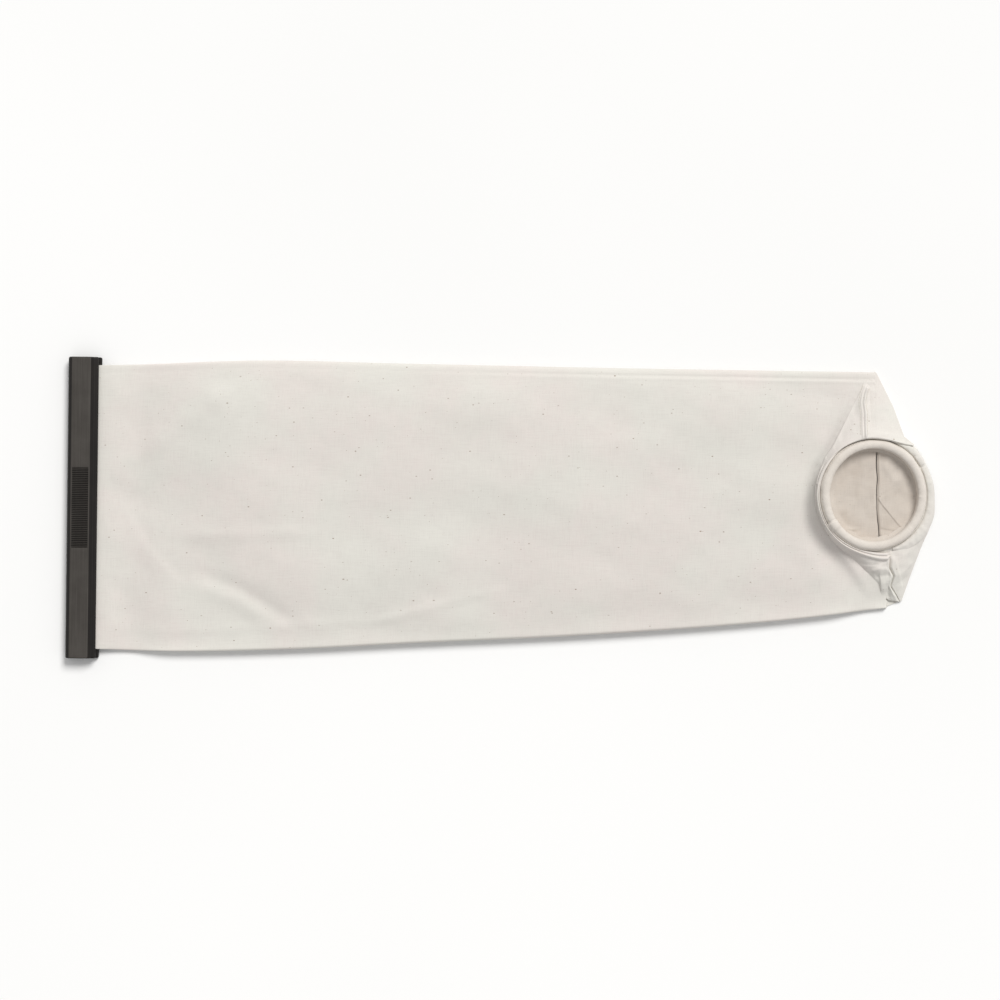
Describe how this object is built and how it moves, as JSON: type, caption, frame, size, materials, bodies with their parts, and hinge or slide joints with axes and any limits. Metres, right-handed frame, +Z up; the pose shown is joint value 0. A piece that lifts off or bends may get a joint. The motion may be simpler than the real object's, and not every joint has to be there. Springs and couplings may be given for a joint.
{
  "type": "sander dust bag",
  "caption": "Flat cotton dust bag for a floor drum sander, with a corded round mouth and a ribbed slide-on plastic clip that closes its emptying end.",
  "frame": {"origin": "centre of the bounding box, on the surface the bag lies on", "axes": "+X runs along the bag from the clip to the mouth, +Y along the clip, +Z up"},
  "size_m": [0.6914, 0.24, 0.0277],
  "materials": {
    "cloth": "unbleached plain-weave cotton with seed flecks",
    "binding": "folded cotton binding",
    "thread": "cotton sewing thread",
    "elastic_cord": "braided elastic cord",
    "stiffener": "plain strip",
    "clip_plastic": "satin moulded, scuffed"
  },
  "bodies": {
    "bag": {"back_panel": "cloth", "front_panel": "cloth", "front_mouth_flap": "cloth", "upper_gusset": "cloth", "lower_gusset": "cloth", "upper_seam_allowance": "cloth", "lower_seam_allowance": "cloth", "upper_seam_thread": "thread", "lower_seam_thread": "thread", "upper_shoulder_seam": "cloth", "lower_shoulder_seam": "cloth", "front_hem_strip": "stiffener", "back_hem_strip": "stiffener", "front_hem_thread": "thread", "back_hem_thread": "thread"},
    "clip": {"closure_clip": "clip_plastic"},
    "mouth": {"neck_band": "cloth", "neck_band_thread": "thread", "mouth_binding": "binding", "binding_lap": "binding", "binding_thread": "thread", "mouth_cord": "elastic_cord", "cord_splice": "thread"}
  },
  "joints": [
    {"name": "clip_slide", "type": "slide", "parent": "bag", "child": "clip", "axis": [0, 1, 0], "range_m": [0, 0.24]},
    {"name": "mouth_tilt", "type": "hinge", "parent": "bag", "child": "mouth", "pos_m": [0.3425, 0, 0.0008], "axis": [0, 1, 0], "range_deg": [0, 20]}
  ]
}
